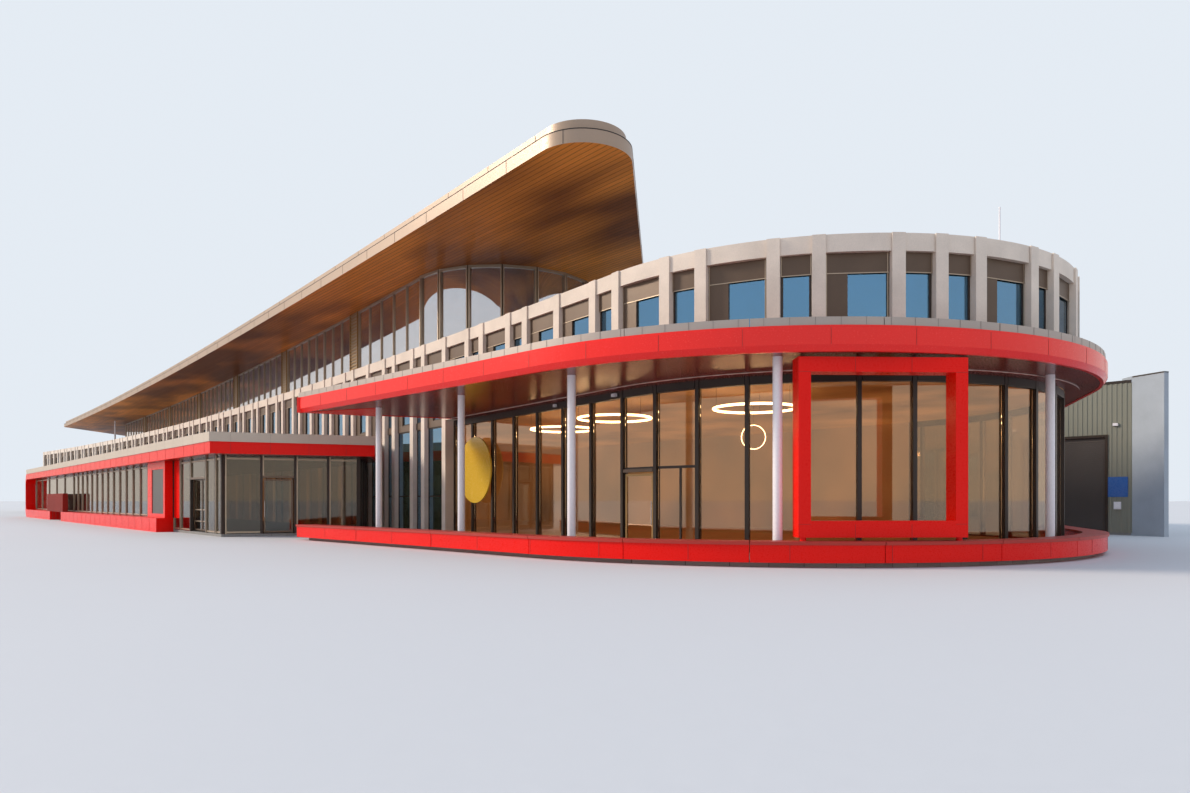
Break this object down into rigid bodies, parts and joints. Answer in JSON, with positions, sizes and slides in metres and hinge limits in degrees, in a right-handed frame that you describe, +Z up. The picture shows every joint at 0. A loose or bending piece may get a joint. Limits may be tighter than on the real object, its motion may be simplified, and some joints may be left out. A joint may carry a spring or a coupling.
{
  "type": "supermarket building, 1:10 scale model",
  "caption": "Long curved supermarket with a round glazed end, red canopy and terrace, glass pavilion with doors, and a thin roof floating over a glass top storey.",
  "frame": {"origin": "centre of the round end, at ground level, on the underside of the main floor", "axes": "+X along the building towards its round end, +Y back from the road, +Z up"},
  "size_m": [15.6414, 4.592, 1.33],
  "materials": {
    "blue_sign": "gloss",
    "bronze_metal": "satin",
    "clear_glass": "polished",
    "concrete": "satin",
    "dark_soffit": "gloss",
    "floor": "matte",
    "grey_metal": "satin",
    "plain_wall": "matte",
    "poster_face": "satin",
    "red_metal": "gloss",
    "ribbed_cladding": "satin",
    "roof_metal": "satin",
    "screen_red": "satin",
    "shutter_metal": "satin",
    "white_metal": "satin",
    "yellow_sign": "gloss"
  },
  "bodies": {
    "building": {"canopy_cap": "grey_metal", "canopy_columns": "white_metal", "canopy_deck": "dark_soffit", "canopy_fascia": "red_metal", "dock_wall": "concrete", "door_hardware": "bronze_metal", "end_wall": "plain_wall", "facade_glass": "clear_glass", "facade_piers": "concrete", "floor_beams": "bronze_metal", "main_floor": "floor", "main_roof_deck": "floor", "mast": "white_metal", "parapet_beams": "concrete", "pavilion_base": "red_metal", "pavilion_cap": "grey_metal", "pavilion_end_band": "red_metal", "pavilion_fascia": "red_metal", "pavilion_floor": "floor", "pavilion_glass": "clear_glass", "pavilion_posts": "bronze_metal", "pavilion_roof": "dark_soffit", "portal": "red_metal", "poster_box": "red_metal", "poster_panel": "poster_face", "rear_wall": "plain_wall", "restaurant_glass": "clear_glass", "restaurant_head": "bronze_metal", "restaurant_mullions": "bronze_metal", "ribbed_screen": "screen_red", "ring_beam": "concrete", "roller_shutter": "shutter_metal", "roof_cover": "roof_metal", "roof_plate": "roof_metal", "roof_posts": "white_metal", "store_back_wall": "ribbed_cladding", "store_floor": "floor", "store_front_wall": "ribbed_cladding", "store_roof": "floor", "store_side_walls": "ribbed_cladding", "terrace_floor": "floor", "terrace_sign": "yellow_sign", "terrace_wall": "red_metal", "terrace_wall_cap": "red_metal", "top_storey_glass": "clear_glass", "top_storey_louvres": "bronze_metal", "upper_floor": "floor", "wall_sign": "blue_sign", "window_panels": "bronze_metal"},
    "left_leaf": {"sliding_leaf_left": "bronze_metal", "sliding_pane_left": "clear_glass"},
    "right_leaf": {"sliding_leaf_right": "bronze_metal", "sliding_pane_right": "clear_glass"},
    "side_door": {"side_leaf": "bronze_metal", "side_pane": "clear_glass"},
    "terrace_door": {"terrace_leaf": "bronze_metal", "terrace_pane": "clear_glass"}
  },
  "joints": [
    {"name": "left_leaf_slide", "type": "slide", "parent": "building", "child": "left_leaf", "axis": [-1, 0, 0], "range_m": [0, 0.115]},
    {"name": "right_leaf_slide", "type": "slide", "parent": "building", "child": "right_leaf", "axis": [1, 0, 0], "range_m": [0, 0.115]},
    {"name": "side_door_hinge", "type": "hinge", "parent": "building", "child": "side_door", "pos_m": [-1.83445, -1.23699, 0.15], "axis": [0, 0, 1], "range_deg": [0, 90]},
    {"name": "terrace_door_hinge", "type": "hinge", "parent": "building", "child": "terrace_door", "pos_m": [-0.09613, -0.83778, 0.15], "axis": [0, 0, -1], "range_deg": [0, 90]}
  ],
  "couplings": [
    {"joint": "right_leaf_slide", "follows": "left_leaf_slide", "ratio": 1}
  ]
}
